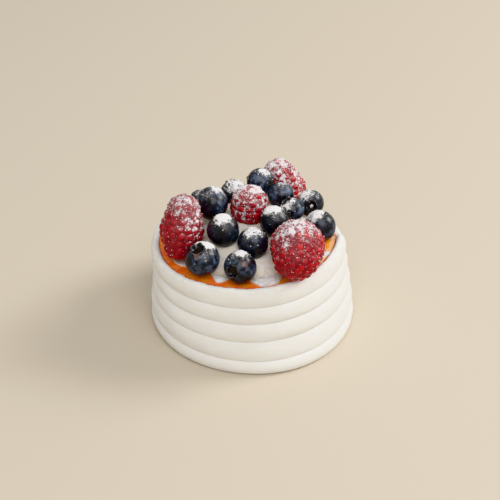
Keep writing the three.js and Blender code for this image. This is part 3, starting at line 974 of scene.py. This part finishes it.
# %% Sifted sugar over any finish
# clumps and grains that are high enough for the amount of sugar are white; under them lies a thin veil,
# and beyond them single grains
sugar_white = (0.93, 0.91, 0.915, 1)
group, given, result = new_group(
    "sifted_sugar",
    {"Color Under": (1, 1, 1, 1), "Roughness Under": 0.5, "Sugar": 0, "Sugar Color": sugar_white,
     "Clumps per Metre": 900, "Veil": 0.08},
    ["Color", "Roughness", "Height"],
)
sugar_group = group
clumps = noise_at(group, given["Clumps per Metre"], 4, 0.65)
grains = noise_at(group, times(group, given["Clumps per Metre"], 3.7), 2, 0.6)
clump_share, grain_share = times(group, clumps, 0.62), times(group, grains, 0.38)
level = stepped(group, plus(group, clump_share, grain_share), 0.32, 0.68)
bare = maths(group, "SUBTRACT", 1, given["Sugar"])
mask = stepped(group, maths(group, "SUBTRACT", level, bare), 0.02, 0.16)
veil = times(group, given["Sugar"], given["Veil"])
single = times(group, stepped(group, grains, 0.54, 0.66), 0.4)
single = times(group, single, stepped(group, given["Sugar"], 0.02, 0.3))
cover = maths(group, "MAXIMUM", mask, maths(group, "MAXIMUM", veil, single))
feed(group, result["Color"], blended(group, cover, given["Color Under"], given["Sugar Color"]))
rougher = plus(group, given["Roughness Under"], times(group, cover, 0.6))
feed(group, result["Roughness"], maths(group, "MINIMUM", rougher, 0.95))
feed(group, result["Height"], times(group, mask, plus(group, grains, 0.5)))
print("node groups:", [group.name for group in bpy.data.node_groups])


# %% Helpers for materials
def placed(tree, group, **values):
    """A group in a material, with its inputs given by name: a socket or a plain value."""
    node = add_node(tree, "ShaderNodeGroup", node_tree=group)
    for name, value in values.items():
        feed(tree, node.inputs[name.replace("_", " ")], value)
    return node.outputs


def attribute(tree, name):
    return add_node(tree, "ShaderNodeAttribute", attribute_name=name).outputs["Fac"]


def marked(tree, name, under, over):
    """One colour where an attribute marks the piece, over another."""
    return blended(tree, attribute(tree, name), under, over)


def lit_within(shader, weight, radius, scale):
    """How much of the light goes in, how far each colour gets, and the length that this is measured in."""
    shader.inputs["Subsurface Weight"].default_value = weight
    shader.inputs["Subsurface Radius"].default_value = radius
    shader.inputs["Subsurface Scale"].default_value = scale


def bumped(tree, shader, height, distance):
    node = add_node(tree, "ShaderNodeBump")
    node.inputs["Distance"].default_value = distance
    node.inputs["Strength"].default_value = 1
    tree.links.new(height, node.inputs["Height"])
    tree.links.new(node.outputs["Normal"], shader.inputs["Normal"])


def dusted(tree, shader, relief, distance, **values):
    """Gives the shader a finish with sifted sugar over it, and bumps from its own relief and the sugar."""
    sifted = placed(tree, sugar_group, Sugar=attribute(tree, "sugar"), **values)
    tree.links.new(sifted["Color"], shader.inputs["Base Color"])
    tree.links.new(sifted["Roughness"], shader.inputs["Roughness"])
    bumped(tree, shader, plus(tree, relief, sifted["Height"]), distance)


# %% [markdown]
# ### Meringue
# Dried meringue is matt and chalky, a warm white that is a shade creamier in broad patches. Light
# goes a little way into it, which softens its shadows. Very fine pores break up its surface. The film
# of curd on the rim is a thin orange stain.

# %% The meringue's finish
tree, shader = new_material("dried_meringue", [nest_mesh])
patches = placed(tree, drift_group, First_Tone=(0.845, 0.83, 0.795, 1), Second_Tone=(0.875, 0.865, 0.84, 1),
                 Hills_per_Metre=70, Contrast=1.2)
filmed = marked(tree, "film", patches["Color"], (0.72, 0.16, 0.04, 1))
pores = noise_at(tree, 2600, 3, 0.6)
ripples = times(tree, noise_at(tree, 260, 2), 3)
dusted(tree, shader, plus(tree, pores, ripples), 0.00006, Color_Under=filmed, Roughness_Under=0.8,
       Sugar_Color=(0.91, 0.9, 0.875, 1), Clumps_per_Metre=900)
shader.inputs["Specular IOR Level"].default_value = 0.35
lit_within(shader, 0.25, (1.0, 0.75, 0.5), 0.002)

# %% [markdown]
# ### Orange curd
# Curd is glossy and slightly see-through. It is redder in a narrow band along the wall, where it runs thin
# and where painted shade lies in the join. It is painted lighter towards the right, a painted highlight
# where the soft box shines, and pale there where cream has been stirred into it and a painted highlight
# lies.

# %% The curd's finish
tree, shader = new_material("orange_curd_gloss", [curd_mesh])
pulp = placed(tree, drift_group, First_Tone=(1, 0.17, 0.03, 1), Second_Tone=(1, 0.33, 0.06, 1),
              Hills_per_Metre=300, Contrast=2.2)
# painted highlight: a lighter orange towards the right side, where the soft box shines
color = marked(tree, "bright", pulp["Color"], (1, 0.36, 0.04, 1))
# pale peach: stirred-in cream, and a painted highlight
color = marked(tree, "pale", color, (0.95, 0.55, 0.27, 1))
# redder along the wall: thin curd, and painted shade in the join with the meringue
color = marked(tree, "thin_edge_and_shade", color, (0.9, 0.12, 0.04, 1))
dusted(tree, shader, noise_at(tree, 700, 3), 0.00012, Color_Under=color, Roughness_Under=0.25,
       Clumps_per_Metre=800)
lit_within(shader, 0.15, (1.0, 0.3, 0.05), 0.001)

# %% [markdown]
# ### Whipped cream
# Cream is smooth and satiny, ivory rather than white, with tiny air pores. A thin tan line of painted shade
# runs along the fold where its last tongues begin.

# %% The cream's finish
tree, shader = new_material("whipped_cream_satin", [cream_mesh])
milk = placed(tree, drift_group, First_Tone=(0.88, 0.8, 0.7, 1), Second_Tone=(0.91, 0.855, 0.78, 1),
              Hills_per_Metre=160, Contrast=1.4)
# painted shade along the fold where the last tongues begin
fold_shaded = marked(tree, "fold_shade", milk["Color"], (0.85, 0.6, 0.35, 1))
dusted(tree, shader, noise_at(tree, 1500, 3), 0.00018, Color_Under=fold_shaded, Roughness_Under=0.5,
       Sugar_Color=(0.96, 0.94, 0.95, 1), Clumps_per_Metre=800)
lit_within(shader, 0.4, (1.0, 0.8, 0.55), 0.002)

# %% [markdown]
# ### Blueberry skin
# The skin is nearly black with a wax bloom over it that scatters blue-grey where it hasn't been
# rubbed off. The bloom is thinned towards the underside as painted shade, so the lower half is darker and
# the top lighter. The crown is dry and dark brown, painted near black as the shade in its pit. Two berries
# have a small rust-coloured rub.

# %% The blueberries' finish
tree, shader = new_material("blueberry_skin", [berry_meshes[node] for node in blueberries])
skin = placed(tree, drift_group, First_Tone=(0.014, 0.013, 0.015, 1), Second_Tone=(0.03, 0.031, 0.037, 1),
              Hills_per_Metre=260, Contrast=2)
wax = placed(tree, drift_group, First_Tone=(0, 0, 0, 1), Second_Tone=(1, 1, 1, 1), Hills_per_Metre=520,
             Contrast=3.5)
patchy = plus(tree, times(tree, wax["Mask"], 0.85), 0.15)
# the bloom, thinned on the underside as painted shade
bloomed_with_dark_underside = times(tree, attribute(tree, "bloom"), patchy)
color = blended(tree, bloomed_with_dark_underside, skin["Color"], (0.1, 0.132, 0.2, 1))
# near black over the crown: its dry dark skin, and painted shade in its pit
color = marked(tree, "crown", color, (0.016, 0.012, 0.012, 1))
color = marked(tree, "lobe", color, (0.07, 0.075, 0.09, 1))
color = marked(tree, "scuff", color, (0.24, 0.14, 0.11, 1))
matter = plus(tree, times(tree, bloomed_with_dark_underside, 0.25), 0.24)
dusted(tree, shader, times(tree, noise_at(tree, 1900, 2), 0.15), 0.00022, Color_Under=color,
       Roughness_Under=matter, Clumps_per_Metre=1300)
shader.inputs["Specular IOR Level"].default_value = 0.42

# %% [markdown]
# ### Raspberry skin
# A drupelet is thin-skinned and full of juice, so light travels through it and it glows red at its
# edge. No two have quite the same tone, and the creases are painted darker as shade.

# %% The raspberries' finish
tree, shader = new_material("raspberry_skin", [berry_meshes[node] for node in raspberries])
flesh = marked(tree, "tone", (0.32, 0.012, 0.022, 1), (0.52, 0.016, 0.02, 1))
# painted shade: a darker red in the creases between the drupelets
flesh = marked(tree, "crease", flesh, (0.25, 0.01, 0.02, 1))
dusted(tree, shader, times(tree, noise_at(tree, 1500, 2), 0.2), 0.0002, Color_Under=flesh,
       Roughness_Under=0.34, Sugar_Color=(0.86, 0.785, 0.81, 1), Clumps_per_Metre=1100, Veil=0.15)
shader.inputs["Specular IOR Level"].default_value = 0.32
lit_within(shader, 0.35, (1.0, 0.5, 0.45), 0.0012)

# %% [markdown]
# ### Icing sugar
# The loose crumbs are the same white as the sifted sugar, matt, and a little see-through, so they
# take on some of the colour of what they lie on.

# %% The crumbs' finish
tree, shader = new_material("icing_sugar_matt", [crumb_mesh])
dust = placed(tree, drift_group, First_Tone=sugar_white, Second_Tone=(0.86, 0.83, 0.84, 1),
              Hills_per_Metre=900, Contrast=1)
tree.links.new(dust["Color"], shader.inputs["Base Color"])
shader.inputs["Roughness"].default_value = 0.9
lit_within(shader, 0.3, (1.0, 0.9, 0.85), 0.0003)
bumped(tree, shader, noise_at(tree, 6000, 2), 0.00003)
